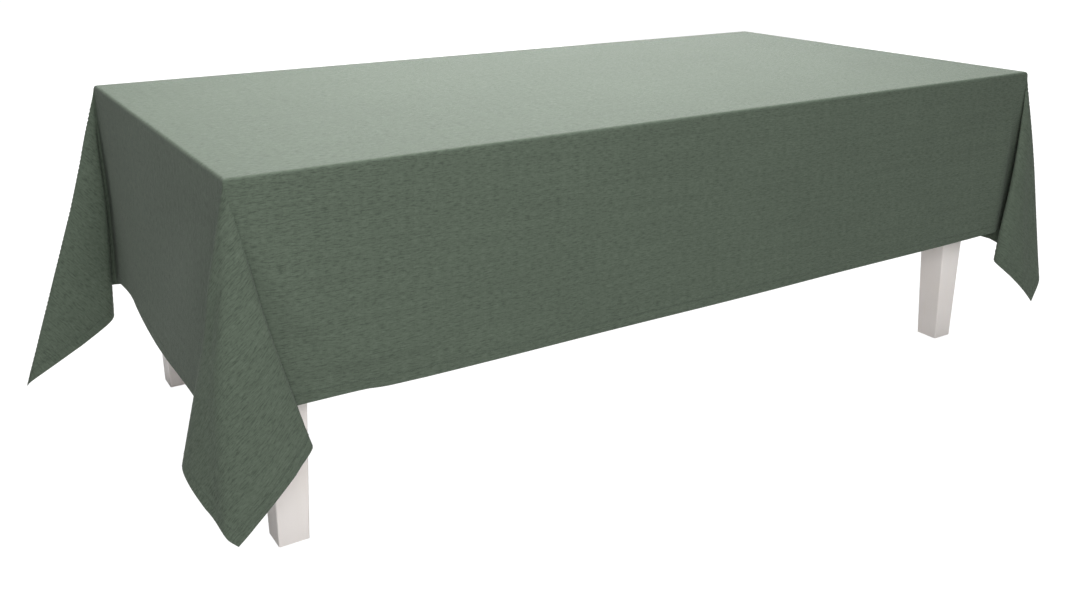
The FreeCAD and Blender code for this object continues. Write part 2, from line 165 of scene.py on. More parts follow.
def smooth_curve(points, steps=60):
    """A smooth curve through the points, and the number of samples from one point to the next."""
    places = np.array([point[:2] for point in points], float)
    places = np.vstack([2 * places[0] - places[1], places, 2 * places[-1] - places[-2]])
    t = np.linspace(0, 1, steps, endpoint=False)[:, None]
    runs = []
    for index in range(1, len(places) - 2):
        a, b, c, d = places[index - 1 : index + 3]
        bend = 2 * a - 5 * b + 4 * c - d
        twist = 3 * b - a - 3 * c + d
        runs.append((2 * b + (c - a) * t + bend * t**2 + twist * t**3) / 2)
    runs.append(places[-2:-1])
    return np.vstack(runs), steps


def fold_directions(points):
    """Directions from the table's corner down the folds, and the flat cloth's angle of each."""
    curve, steps = smooth_curve(points)
    directions = np.column_stack([curve, -np.ones(len(curve))])
    directions /= np.linalg.norm(directions, axis=1)[:, None]
    step = np.linalg.norm(np.diff(directions, axis=0), axis=1)
    turned = np.concatenate([[0], np.cumsum(2 * np.arcsin(np.clip(step / 2, 0, 1)))])
    known = [(turned[i * steps], p[2]) for i, p in enumerate(points) if len(p) == 3]
    angles = np.interp(turned, [k[0] for k in known], [k[1] for k in known])
    return directions, angles


def hanging(u, v, folds):
    """Where points of the flat cloth lie when it hangs over sharp table edges."""
    out = np.stack([np.clip(u, -HALF_X, HALF_X), np.clip(v, -HALF_Y, HALF_Y), 0 * u], -1)
    past_end = np.abs(u) - HALF_X
    past_side = np.abs(v) - HALF_Y
    out[..., 2] = TOP_Z - np.clip(np.maximum(past_end, past_side), 0, None)
    for (end, side, _), (directions, angles) in zip(CORNERS, folds):
        a = HALF_X - end * u
        b = HALF_Y - side * v
        angle = np.degrees(np.arctan2(-b, a))
        angle = np.where(angle < -90, angle + 360, angle)
        here = (angle > 45) & (angle < 225) & ((a < 0) | (b < 0))
        line = np.stack([np.interp(angle[here], angles, directions[:, k]) for k in range(3)], -1)
        line /= np.linalg.norm(line, axis=-1)[:, None]
        line *= np.hypot(a, b)[here][:, None]
        place = [end * (HALF_X - line[:, 0]), side * (HALF_Y - line[:, 1]), TOP_Z + line[:, 2]]
        out[here] = np.stack(place, -1)
    return out


def softened(u, v, folds, reach):
    """The hanging cloth with its bends rounded over a short reach, longer down the folds."""
    past = np.minimum(np.abs(u) - HALF_X, np.abs(v) - HALF_Y)
    reach = reach * (1 + FOLD_SOFTNESS * np.clip(past / FOLD_SOFT_AFTER, 0, 1))
    total, weights = 0, 0
    for shift_u, weight_u in ROUNDING:
        for shift_v, weight_v in ROUNDING:
            weight = weight_u * weight_v
            total = total + weight * hanging(u + shift_u * reach, v + shift_v * reach, folds)
            weights += weight
    return total / weights


def grid_lines(low, high, half, inner, close, wide, turn):
    """Grid lines across the cloth: close at its ends, wide in the middle, closest at table edges."""
    runs = [
        (low, -half - turn, close),
        (-half - turn, -half + turn, turn / 2),
        (-half + turn, -half + inner, close),
        (-half + inner, half - inner, wide),
        (half - inner, half - turn, close),
        (half - turn, half + turn, turn / 2),
        (half + turn, high, close),
    ]
    lines = []
    for start, end, spacing in runs:
        if end - start > 1e-6:
            count = max(1, round((end - start) / spacing))
            lines += list(np.linspace(start, end, count, endpoint=False))
    return np.array(lines + [high])


def look_up(us, vs, grid, u, v):
    """Values between the points of a grid."""
    i = np.clip(np.searchsorted(us, u) - 1, 0, len(us) - 2)
    j = np.clip(np.searchsorted(vs, v) - 1, 0, len(vs) - 2)
    s = np.clip((u - us[i]) / (us[i + 1] - us[i]), 0, 1)[..., None]
    t = np.clip((v - vs[j]) / (vs[j + 1] - vs[j]), 0, 1)[..., None]
    lower = grid[j, i] * (1 - s) + grid[j, i + 1] * s
    upper = grid[j + 1, i] * (1 - s) + grid[j + 1, i + 1] * s
    return lower * (1 - t) + upper * t


def pick(*pieces):
    """Selects these pieces and nothing else. The first becomes the active one."""
    bpy.ops.object.select_all(action="DESELECT")
    for piece in pieces:
        piece.select_set(True)
    if pieces:
        bpy.context.view_layer.objects.active = pieces[0]


def grid_sheet(name, us, vs, places, flat=None):
    """A grid mesh with its points at the given places and its flat size as a UV map in metres."""
    flat_u, flat_v = flat or np.meshgrid(us, vs)
    pick()
    bpy.ops.mesh.primitive_grid_add(
        x_subdivisions=len(us) - 1, y_subdivisions=len(vs) - 1, size=2
    )
    sheet = bpy.context.object
    sheet.name = name
    sheet.data.name = name
    sheet.data.vertices.foreach_set("co", places.astype(np.float32).ravel())
    corners = np.zeros(len(sheet.data.loops), np.int32)
    sheet.data.loops.foreach_get("vertex_index", corners)
    layer = sheet.data.uv_layers[0]
    layer.name = "flat_cut"
    cut = np.stack([flat_u.ravel()[corners], flat_v.ravel()[corners]], -1)
    layer.data.foreach_set("uv", cut.astype(np.float32).ravel())
    sheet.data.update()
    return sheet


def simulate(settings, us, vs, places):
    """Lets the hanging cloth settle under its weight. Returns how far each grid point moved."""
    sheet = grid_sheet("settling_cloth", us, vs, places)
    flat_u, flat_v = np.meshgrid(us, vs)
    over_end = np.abs(flat_u) - HALF_X
    over_side = np.abs(flat_v) - HALF_Y
    held = np.maximum(over_end, over_side) < HELD_DEPTH
    held &= np.minimum(over_end, over_side) < 1e-6
    group = sheet.vertex_groups.new(name="held")
    group.add([int(i) for i in np.nonzero(held.ravel())[0]], 1.0, "REPLACE")
    cloth = sheet.modifiers.new("Cloth", "CLOTH")
    for label, value in SETTLING_CLOTH.items():
        setattr(cloth.settings, label, value)
    cloth.settings.bending_stiffness = settings.bending
    cloth.collision_settings.use_collision = False
    cloth.collision_settings.use_self_collision = True
    cloth.collision_settings.self_distance_min = 0.004
    cloth.point_cache.frame_start = 1
    cloth.point_cache.frame_end = settings.settling_frames
    scene = bpy.context.scene
    scene.frame_start = 1
    scene.frame_end = settings.settling_frames
    for number in range(1, settings.settling_frames + 1):
        scene.frame_set(number)
    bpy.context.view_layer.objects.active = sheet
    bpy.ops.object.modifier_apply(modifier="Cloth")
    settled = np.zeros(len(sheet.data.vertices) * 3, np.float32)
    sheet.data.vertices.foreach_get("co", settled)
    bpy.data.meshes.remove(sheet.data)
    scene.frame_set(1)
    moved = settled.reshape(places.shape) - places
    far = np.linalg.norm(moved, axis=-1, keepdims=True)
    moved *= np.minimum(1, settings.settling_limit / np.maximum(far, 1e-9))
    for _ in range(2):
        inner = moved.copy()
        inner[1:-1, 1:-1] = (
            4 * moved[1:-1, 1:-1]
            + moved[:-2, 1:-1]
            + moved[2:, 1:-1]
            + moved[1:-1, :-2]
            + moved[1:-1, 2:]
        ) / 8
        moved = inner
    return moved


def cloth_size(settings):
    """Lowest and highest flat place of the cloth, each way."""
    return (
        -HALF_X - settings.drop_left,
        HALF_X + settings.drop_right,
        -HALF_Y - settings.drop_front,
        HALF_Y + settings.drop_back,
    )


def drape(settings):
    """The draped cloth's surface, worked out once: a function from flat places to places in space."""
    if "surface" in DRAPES:
        return DRAPES["surface"]
    folds = [fold_directions(points) for _, _, points in CORNERS]
    low_u, high_u, low_v, high_v = cloth_size(settings)
    reach = settings.edge_reach
    moved = None
    spacing = {"close": settings.settling_spacing, "wide": 0.07, "turn": 0}
    us = grid_lines(low_u, high_u, HALF_X, inner=0.28, **spacing)
    vs = grid_lines(low_v, high_v, HALF_Y, inner=0.05, **spacing)
    flat_u, flat_v = np.meshgrid(us, vs)
    moved = simulate(settings, us, vs, softened(flat_u, flat_v, folds, reach))

    def surface(u, v):
        places = softened(u, v, folds, reach)
        down = np.clip(TOP_Z - places[..., 2], 0, None)
        if moved is not None:
            free = np.clip((down - HELD_DEPTH) / FREE_AFTER, 0, 1)
            free = free * free * (3 - 2 * free)
            places = places + look_up(us, vs, moved, u, v) * free[..., None]
        # A slight unevenness of the long hanging sides, which grows towards the hem.
        along_side = np.clip((HALF_X - np.abs(u)) / WAVE_START_X, 0, 1) * (np.abs(v) > HALF_Y)
        along_end = np.clip((HALF_Y - np.abs(v)) / WAVE_START_Y, 0, 1) * (np.abs(u) > HALF_X)
        size = settings.waviness * (down / WAVE_DEPTH) ** 2
        # The long back left corner pulls the cloth askew: lower at the end, higher at the back.
        past_end = -HALF_X - u
        past_side = v - HALF_Y
        near = np.clip(1 + np.minimum(past_end, past_side) / PULL_REACH, 0, 1) ** 2
        share = np.arctan2(np.maximum(past_end, 1e-9), np.maximum(past_side, 1e-9))
        pull = np.interp(share / (math.pi / 2), TURNS, PULLS)
        places[..., 2] -= settings.corner_pull * near * pull * (down / PULL_DEPTH)
        wave = 0.5 + 0.5 * np.sin(6.1 * u + 1.3) * np.cos(2.7 * u - 0.4)
        places[..., 1] += np.sign(v) * along_side * wave * size
        wave = 0.5 + 0.5 * np.sin(9.3 * v + 0.7)
        places[..., 0] += np.sign(u) * along_end * wave * size
        return places

    DRAPES["surface"] = surface
    return surface


def outward(surface, u, v, step=0.0012):
    """The outward direction of the draped cloth at flat places."""
    across = surface(u + step, v) - surface(u - step, v)
    along = surface(u, v + step) - surface(u, v - step)
    normal = np.cross(across, along)
    return normal / np.maximum(np.linalg.norm(normal, axis=-1, keepdims=True), 1e-9)


def thicken(sheet, thickness):
    """Gives a sheet its thickness, evenly to both sides, with smooth faces and a crisp rim."""
    solidify = sheet.modifiers.new("Thickness", "SOLIDIFY")
    solidify.thickness = thickness
    solidify.offset = 0
    pick(sheet)
    bpy.ops.object.modifier_apply(modifier="Thickness")
    bpy.ops.object.shade_smooth_by_angle(angle=math.radians(80))


# ---------------------------------------------------------------- nodes for the materials


def new_group(name, inputs, outputs):
    """A shader node group. Returns the tree and its input and output nodes.

    The inputs are given with their defaults, None for a place, and the outputs with their kinds.
    """
    tree = bpy.data.node_groups.new(name, "ShaderNodeTree")
    for label, value in inputs.items():
        kind = "Color" if isinstance(value, tuple) else "Float"
        kind = "NodeSocketVector" if value is None else f"NodeSocket{kind}"
        socket = tree.interface.new_socket(name=label, in_out="INPUT", socket_type=kind)
        if value is not None:
            socket.default_value = value
    for label, kind in outputs.items():
        kind = f"NodeSocket{kind}"
        tree.interface.new_socket(name=label, in_out="OUTPUT", socket_type=kind)
    return tree, tree.nodes.new("NodeGroupInput"), tree.nodes.new("NodeGroupOutput")


def connect(tree, value, socket):
    """Links an output to a socket, or sets the socket to a plain value."""
    if isinstance(value, bpy.types.NodeSocket):
        tree.links.new(value, socket)
    else:
        socket.default_value = value


def feed(tree, node, **values):
    """Links or sets a node's inputs by name, with _ for a space. Returns the node."""
    for label, value in values.items():
        connect(tree, value, node.inputs[label.replace("_", " ")])
    return node


def calc(tree, operation, *values):
    node = tree.nodes.new("ShaderNodeMath")
    node.operation = operation
    for value, socket in zip(values, node.inputs):
        connect(tree, value, socket)
    return node.outputs[0]


def stretched(tree, vector, scale):
    node = tree.nodes.new("ShaderNodeMapping")
    return feed(tree, node, Scale=scale, Vector=vector).outputs["Vector"]


def noise(tree, vector, scale, detail=2.0, roughness=0.5):
    node = tree.nodes.new("ShaderNodeTexNoise")
    feed(tree, node, Scale=scale, Detail=detail, Roughness=roughness, Vector=vector)
    return node.outputs["Fac"]


def remap(tree, value, low, high, to_low=0.0, to_high=1.0):
    node = tree.nodes.new("ShaderNodeMapRange")
    feed(tree, node, Value=value, From_Min=low, From_Max=high, To_Min=to_low, To_Max=to_high)
    return node.outputs["Result"]


def mixed(tree, factor, first, second, blend="MIX"):
    node = tree.nodes.new("ShaderNodeMix")
    node.data_type = "RGBA"
    node.blend_type = blend
    connect(tree, factor, node.inputs[0])
    connect(tree, first, node.inputs[6])
    connect(tree, second, node.inputs[7])
    return node.outputs[2]


def shaded(tree, colour, shade):
    """A colour times a grey value."""
    grey = tree.nodes.new("ShaderNodeCombineColor")
    for socket in grey.inputs:
        connect(tree, shade, socket)
    return mixed(tree, 1.0, colour, grey.outputs[0], "MULTIPLY")


def tinted(colour, tint=(1, 1, 1)):
    """A set colour with its parts scaled, and made opaque."""
    return (*[min(1.0, part * share) for part, share in zip(colour, tint)], 1)


def placed_group(tree, group, **values):
    node = tree.nodes.new("ShaderNodeGroup")
    node.node_tree = group
    return feed(tree, node, **values)


def weave_group():
    """Slub weave on the flat cloth: uneven threads along it, finer ones across, painted shade in the
    gaps between the yarns, and their height.
    """
    name = "Slub Weave"
    if name in bpy.data.node_groups:
        return bpy.data.node_groups[name]
    tree, given, result = new_group(
        name,
        {
            "Flat Place": None,
            "Cloth Colour": (0.2, 0.25, 0.2, 1),
            "Slub Colour": (0.1, 0.13, 0.1, 1),
            "Slub Share": 0.5,
            "Thread Pitch": 0.0008,
        },
        {"Colour": "Color", "Roughness": "Float", "Height": "Float"},
    )
    place = given.outputs["Flat Place"]
    long_slubs = noise(tree, stretched(tree, place, (72, 400, 1)), 1.0, 2.0, 0.5)
    short_slubs = noise(tree, stretched(tree, place, (150, 560, 1)), 1.0, 2.0, 0.5)
    cross_slubs = noise(tree, stretched(tree, place, (440, 80, 1)), 1.0, 2.0, 0.5)
    bands = noise(tree, stretched(tree, place, (3, 120, 1)), 1.0, 3.0, 0.6)
    cross_bands = noise(tree, stretched(tree, place, (60, 2.5, 1)), 1.0, 3.0, 0.6)
    mottle = noise(tree, place, 2.2, 3.0, 0.55)
    dark = remap(tree, long_slubs, 0.52, 0.66)
    dark_short = remap(tree, short_slubs, 0.54, 0.68)
    dark = calc(tree, "MAXIMUM", dark, dark_short)
    dark_cross = calc(tree, "MULTIPLY", remap(tree, cross_slubs, 0.56, 0.72), 0.6)
    dark = calc(tree, "MAXIMUM", dark, dark_cross)
    dark = calc(tree, "MULTIPLY", dark, given.outputs["Slub Share"])
    pale = remap(tree, long_slubs, 0.46, 0.32, 0, 0.14)
    shade = remap(tree, bands, 0.3, 0.7, 0.92, 1.08)
    shade = calc(tree, "ADD", shade, remap(tree, cross_bands, 0.3, 0.7, -0.035, 0.035))
    shade = calc(tree, "MULTIPLY", shade, remap(tree, mottle, 0.3, 0.7, 0.965, 1.035))
    shade = calc(tree, "ADD", shade, pale)
    colour = mixed(tree, dark, given.outputs["Cloth Colour"], given.outputs["Slub Colour"])
    colour = shaded(tree, colour, shade)
    # Over and under of a plain weave, wandering a little with the uneven threads.
    split = tree.nodes.new("ShaderNodeSeparateXYZ")
    connect(tree, place, split.inputs[0])
    turns = calc(tree, "DIVIDE", math.pi, given.outputs["Thread Pitch"])
    drift = calc(tree, "MULTIPLY", long_slubs, 2.5)
    warp, weft = (
        calc(tree, "SINE", calc(tree, "MULTIPLY_ADD", split.outputs[axis], turns, drift))
        for axis in (0, 1)
    )
    over = calc(tree, "MULTIPLY", warp, weft)
    height = calc(tree, "MULTIPLY_ADD", over, 0.35, 0.5)
    height = calc(tree, "ADD", height, calc(tree, "MULTIPLY", long_slubs, 0.9))
    height = calc(tree, "ADD", height, calc(tree, "MULTIPLY", cross_slubs, 0.5))
    # Painted shade: the colour is darker along the gaps between the yarns.
    yarn_gap_shade = calc(tree, "MULTIPLY_ADD", calc(tree, "ABSOLUTE", over), 0.07, 0.95)
    rough = remap(tree, long_slubs, 0.3, 0.75, 0.82, 0.95)
    feed(tree, result, Colour=shaded(tree, colour, yarn_gap_shade), Roughness=rough, Height=height)
    return tree


def hem_group():
    """The turned hem along the border of the flat cloth: a dipped sewing line and a fuller edge."""
    name = "Turned Hem"
    if name in bpy.data.node_groups:
        return bpy.data.node_groups[name]
    tree, given, result = new_group(
        name,
        {
            "Flat Place": None,
            "Middle X": 0.0,
            "Middle Y": 0.0,
            "Half X": 1.5,
            "Half Y": 1.0,
            "Hem Width": 0.022,
        },
        {"Dip": "Float", "Fullness": "Float"},
    )
    split = tree.nodes.new("ShaderNodeSeparateXYZ")
    connect(tree, given.outputs["Flat Place"], split.inputs[0])
    left = []
    for label in ("X", "Y"):
        away = calc(tree, "SUBTRACT", split.outputs[label], given.outputs[f"Middle {label}"])
        away = calc(tree, "ABSOLUTE", away)
        left.append(calc(tree, "SUBTRACT", given.outputs[f"Half {label}"], away))
    inside = calc(tree, "MINIMUM", *left)
    from_line = calc(tree, "ABSOLUTE", calc(tree, "SUBTRACT", inside, given.outputs["Hem Width"]))
    dip = remap(tree, from_line, 0.0, 0.0022, 1.0, 0.0)
    full = remap(tree, calc(tree, "SUBTRACT", given.outputs["Hem Width"], inside), 0.0, 0.003)
    feed(tree, result, Dip=dip, Fullness=full)
    return tree


def wear_group():
    """Edges rubbed by use, broken up so that they are uneven."""
    name = "Edge Wear"
    if name in bpy.data.node_groups:
        return bpy.data.node_groups[name]
    tree, given, result = new_group(
        name,
        {"Place": None, "Edge Radius": 0.002, "Amount": 0.5},
        {"Worn": "Float", "Scuff": "Float"},
    )
    bevel = tree.nodes.new("ShaderNodeBevel")
    bevel.samples = 4
    feed(tree, bevel, Radius=given.outputs["Edge Radius"])
    geometry = tree.nodes.new("ShaderNodeNewGeometry")
    dot = tree.nodes.new("ShaderNodeVectorMath")
    dot.operation = "DOT_PRODUCT"
    connect(tree, bevel.outputs["Normal"], dot.inputs[0])
    connect(tree, geometry.outputs["Normal"], dot.inputs[1])
    edge = remap(tree, dot.outputs["Value"], 0.995, 0.8)
    broken = remap(tree, noise(tree, given.outputs["Place"], 60, 4.0, 0.6), 0.42, 0.62)
    worn = calc(tree, "MULTIPLY", calc(tree, "MULTIPLY", edge, broken), given.outputs["Amount"])
    marks = noise(tree, stretched(tree, given.outputs["Place"], (9, 9, 3)), 3.0, 5.0, 0.65)
    scuff = calc(tree, "MULTIPLY", remap(tree, marks, 0.6, 0.8), given.outputs["Amount"])
    feed(tree, result, Worn=worn, Scuff=scuff)
    return tree


def new_material(name):
    """A material with a Principled BSDF. Returns the material, its tree and the shader."""
    material = bpy.data.materials.new(name)
    material.use_nodes = True
    tree = material.node_tree
    return material, tree, tree.nodes["Principled BSDF"]


def worn_material(name, edge_radius, amount):
    """A material with rubbed edges, its tree and shader, Object coordinates and the wear node."""
    material, tree, shader = new_material(name)
    place = tree.nodes.new("ShaderNodeTexCoord").outputs["Object"]
    wear = placed_group(tree, wear_group(), Place=place, Edge_Radius=edge_radius, Amount=amount)
    return material, tree, shader, place, wear


def bump(tree, shader, height, strength, distance):
    node = tree.nodes.new("ShaderNodeBump")
    feed(tree, node, Strength=strength, Distance=distance, Height=height)
    feed(tree, shader, Normal=node.outputs["Normal"])


def cloth_material(settings):
    """Matt slub-woven cotton and linen with a soft sheen, and its hem line."""
    name = "slub_cloth"
    if name in bpy.data.materials:
        return bpy.data.materials[name]
    material, tree, shader = new_material(name)
    flat = tree.nodes.new("ShaderNodeUVMap")
    flat.uv_map = "flat_cut"
    place = flat.outputs["UV"]
    weave = placed_group(
        tree,
        weave_group(),
        Flat_Place=place,
        Cloth_Colour=tinted(settings.cloth_colour),
        Slub_Colour=tinted(settings.slub_colour),
        Slub_Share=settings.slub_share,
        Thread_Pitch=settings.thread_pitch,
    )
    low_u, high_u, low_v, high_v = cloth_size(settings)
    hem = placed_group(
        tree,
        hem_group(),
        Flat_Place=place,
        Middle_X=(low_u + high_u) / 2,
        Middle_Y=(low_v + high_v) / 2,
        Half_X=(high_u - low_u) / 2,
        Half_Y=(high_v - low_v) / 2,
        Hem_Width=settings.hem_width - SEWING_INSET,
    )
    dip = hem.outputs["Dip"]
    # Painted shade: the cloth's colour is darkened along the dipped sewing line.
    dark = calc(tree, "MULTIPLY", dip, 0.45)
    colour = mixed(tree, dark, weave.outputs["Colour"], tinted(settings.slub_colour))
    height = calc(tree, "MULTIPLY_ADD", dip, -1.2, weave.outputs["Height"])
    height = calc(tree, "MULTIPLY_ADD", hem.outputs["Fullness"], 0.6, height)
    bump(tree, shader, height, settings.weave_relief, 0.0005)
    feed(tree, shader, Base_Color=colour, Roughness=weave.outputs["Roughness"])
    feed(tree, shader, Sheen_Weight=settings.sheen, Sheen_Roughness=0.45)
    feed(tree, shader, Sheen_Tint=(0.9, 0.95, 0.9, 1), IOR=1.5, Specular_IOR_Level=0.35)
    return material


def thread_material(settings):
    """Twisted sewing thread in the cloth's colour."""
    name = "sewing_thread"
    if name in bpy.data.materials:
        return bpy.data.materials[name]
    material, tree, shader = new_material(name)
    place = tree.nodes.new("ShaderNodeTexCoord").outputs["Object"]
    tone = noise(tree, place, 14, 2.0)
    twist = noise(tree, place, 1800, 1.0)
    dark, thread = tinted(settings.slub_colour), tinted(settings.thread_colour)
    colour = mixed(tree, remap(tree, tone, 0.3, 0.7), dark, thread)
    lit = remap(tree, twist, 0.4, 0.7, 0, 0.4)
    colour = mixed(tree, lit, colour, tinted(settings.cloth_colour))
    rough = remap(tree, twist, 0.3, 0.7, 0.5, 0.75)
    feed(tree, shader, Base_Color=colour, Roughness=rough, Sheen_Weight=0.2)
    bump(tree, shader, twist, 0.4, 0.0002)
    return material


def lacquer_material(settings):
    """Satin warm white lacquer over wood: faint grain and roller texture, rubbed edges, scuffs."""
    material, tree, shader, place, wear = worn_material("satin_white_lacquer", 0.0025, 0.5)
    grain = noise(tree, stretched(tree, place, (160, 160, 6)), 1.0, 3.0, 0.55)
    orange_peel = noise(tree, place, 420, 2.0)
    tone = noise(tree, place, 5, 3.0)
    lacquer = tinted(settings.lacquer_colour)
    rubbed = tinted(settings.lacquer_colour, (0.86, 0.80, 0.72))
    dusty = tinted(settings.lacquer_colour, (0.93, 0.91, 0.88))
    colour = mixed(tree, remap(tree, tone, 0.35, 0.75, 0, 0.5), lacquer, dusty)
    colour = mixed(tree, remap(tree, grain, 0.55, 0.8, 0, 0.25), colour, dusty)
    colour = mixed(tree, wear.outputs["Scuff"], colour, dusty)
    colour = mixed(tree, wear.outputs["Worn"], colour, rubbed)
    satin = remap(tree, tone, 0.3, 0.7, 0.34, 0.42)
    rough = calc(tree, "MULTIPLY_ADD", wear.outputs["Scuff"], 0.3, satin)
    feed(tree, shader, Base_Color=colour, Roughness=rough)
    height = calc(tree, "MULTIPLY_ADD", grain, 0.5, orange_peel)
    bump(tree, shader, height, 0.12, 0.0004)
    return material


def steel_material(settings):
    """Zinc plated steel: cool grey with a blotchy bright finish."""
    material, tree, shader, place, wear = worn_material("zinc_plated_steel", 0.0008, 0.7)
    spangle = noise(tree, place, 140, 3.0, 0.6)
    brushed = noise(tree, stretched(tree, place, (40, 40, 900)), 1.0, 2.0)
    zinc = tinted(settings.zinc_colour)
    blue = tinted(settings.zinc_colour, (0.80, 0.86, 0.92))
    bright = tinted(settings.zinc_colour, (1.25, 1.25, 1.25))
    colour = mixed(tree, remap(tree, spangle, 0.35, 0.65), zinc, blue)
    colour = mixed(tree, wear.outputs["Worn"], colour, bright)
    rough = remap(tree, spangle, 0.3, 0.7, 0.28, 0.46)
    feed(tree, shader, Base_Color=colour, Roughness=rough, Metallic=1.0)
    bump(tree, shader, calc(tree, "ADD", spangle, brushed), 0.15, 0.0003)
    return material


def nylon_material(settings):
    """Moulded nylon glide: matt, faintly pitted, greyed where it rubs the floor."""
    material, tree, shader, place, wear = worn_material("moulded_nylon", 0.001, 0.8)
    pits = noise(tree, place, 900, 2.0)
    nylon = tinted(settings.nylon_colour)
    rubbed = tinted(settings.nylon_colour, (0.7, 0.7, 0.7))
    greyed = remap(tree, noise(tree, place, 90, 3.0), 0.4, 0.7, 0, 0.3)
    colour = mixed(tree, greyed, nylon, rubbed)
    colour = mixed(tree, wear.outputs["Worn"], colour, rubbed)
    rough = remap(tree, pits, 0.3, 0.7, 0.5, 0.66)
    feed(tree, shader, Base_Color=colour, Roughness=rough)
    bump(tree, shader, pits, 0.2, 0.0002)
    return material


# ---------------------------------------------------------------- what a user can set


class TableclothSettings(bpy.types.PropertyGroup):
    """Sizes and colours of the cloth."""

    drop_front: FloatProperty(
        name="Front drop", description="How far the cloth hangs at the front",
        default=TABLE_HEIGHT - FRONT_BOX[0].z, min=0.05, unit="LENGTH",
    )
    drop_back: FloatProperty(
        name="Back drop", description="How far the cloth hangs at the back",
        default=TABLE_HEIGHT - BACK_BOX[0].z, min=0.05, unit="LENGTH",
    )
    drop_left: FloatProperty(
        name="Left drop", description="How far the cloth hangs at the left end",
        default=TABLE_HEIGHT - LEFT_BOX[0].z, min=0.05, unit="LENGTH",
    )
    drop_right: FloatProperty(
        name="Right drop", description="How far the cloth hangs at the right end",
        default=TABLE_HEIGHT - RIGHT_BOX[0].z, min=0.05, unit="LENGTH",
    )
    thickness: FloatProperty(
        name="Thickness", description="Thickness of the woven cloth",
        default=0.0009, min=0.0002, precision=4, unit="LENGTH",
    )
    edge_reach: FloatProperty(
        name="Edge softness", description="Half the width over which the cloth bends at an edge",
        default=0.006, min=0.001, precision=4, unit="LENGTH",
    )
    spacing: FloatProperty(
        name="Grid spacing", description="Distance between grid lines near the corners",
        default=0.0075, min=0.004, precision=4, unit="LENGTH",
    )
    settling_spacing: FloatProperty(
        name="Settling spacing", description="Distance between grid lines while the cloth settles",
        default=0.0105, min=0.006, precision=4, unit="LENGTH",
    )
    settling_frames: IntProperty(
        name="Settling frames", description="How long the cloth settles", default=22, min=2,
    )
    settling_limit: FloatProperty(
        name="Settling limit", description="The furthest that a point moves while settling",
        default=0.010, min=0.0, precision=4, unit="LENGTH",
    )
    bending: FloatProperty(
        name="Bending stiffness", description="How much the cloth resists bending",
        default=1.5, min=0.01,
    )
    corner_pull: FloatProperty(
        name="Corner pull", description="How much lower the left end hangs near the back",
        default=0.022, min=0.0, precision=4, unit="LENGTH",
    )
    waviness: FloatProperty(
        name="Waviness", description="Unevenness of the long hanging sides",
        default=0.004, min=0.0, precision=4, unit="LENGTH",
    )
    hem_width: FloatProperty(
        name="Hem width", description="Width of the turned and sewn border",
        default=0.022, min=0.004, precision=4, unit="LENGTH",
    )
    stitch_length: FloatProperty(
        name="Stitch length", description="Length of one visible stitch",
        default=0.0028, min=0.001, precision=4, unit="LENGTH",
    )
    stitch_pitch: FloatProperty(
        name="Stitch pitch", description="Distance from one stitch to the next",
        default=0.004, min=0.0015, precision=4, unit="LENGTH",
    )
    thread_radius: FloatProperty(
        name="Thread radius", description="Radius of the sewing thread",
        default=0.00028, min=0.0001, precision=5, unit="LENGTH",
    )
    thread_pitch: FloatProperty(
        name="Yarn pitch", description="Distance from one woven yarn to the next",
        default=0.0008, min=0.0003, precision=5, unit="LENGTH",
    )
    weave_relief: FloatProperty(
        name="Weave relief", description="Strength of the weave's relief",
        default=0.5, min=0.0, max=1.0, subtype="FACTOR",
    )
    slub_share: FloatProperty(
        name="Slub strength", description="How dark the slubs are",
        default=0.75, min=0.0, max=1.0, subtype="FACTOR",
    )
    sheen: FloatProperty(
        name="Sheen", description="Soft light off the fibres at a flat angle",
        default=0.06, min=0.0, max=1.0, subtype="FACTOR",
    )
    cloth_colour: FloatVectorProperty(
        name="Cloth colour", description="Ground colour of the cloth",
        default=(0.092, 0.119, 0.087), min=0, max=1, size=3, subtype="COLOR",
    )
    slub_colour: FloatVectorProperty(
        name="Slub colour", description="Colour of the thick uneven yarns",
        default=(0.050, 0.067, 0.048), min=0, max=1, size=3, subtype="COLOR",
    )
    thread_colour: FloatVectorProperty(
        name="Thread colour", description="Colour of the sewing thread",
        default=(0.080, 0.104, 0.076), min=0, max=1, size=3, subtype="COLOR",
    )


class TableSettings(bpy.types.PropertyGroup):
    """Colours of the table's finishes."""

    lacquer_colour: FloatVectorProperty(
        name="Lacquer colour", description="Warm white lacquer of the legs, rails and top",
        default=(0.93, 0.88, 0.85), min=0, max=1, size=3, subtype="COLOR",
    )
    zinc_colour: FloatVectorProperty(
        name="Zinc colour", description="Zinc plating of the plates, bolts and screws",
        default=(0.60, 0.61, 0.63), min=0, max=1, size=3, subtype="COLOR",
    )
    nylon_colour: FloatVectorProperty(
        name="Nylon colour", description="Moulded glides under the legs",
        default=(0.66, 0.65, 0.63), min=0, max=1, size=3, subtype="COLOR",
    )


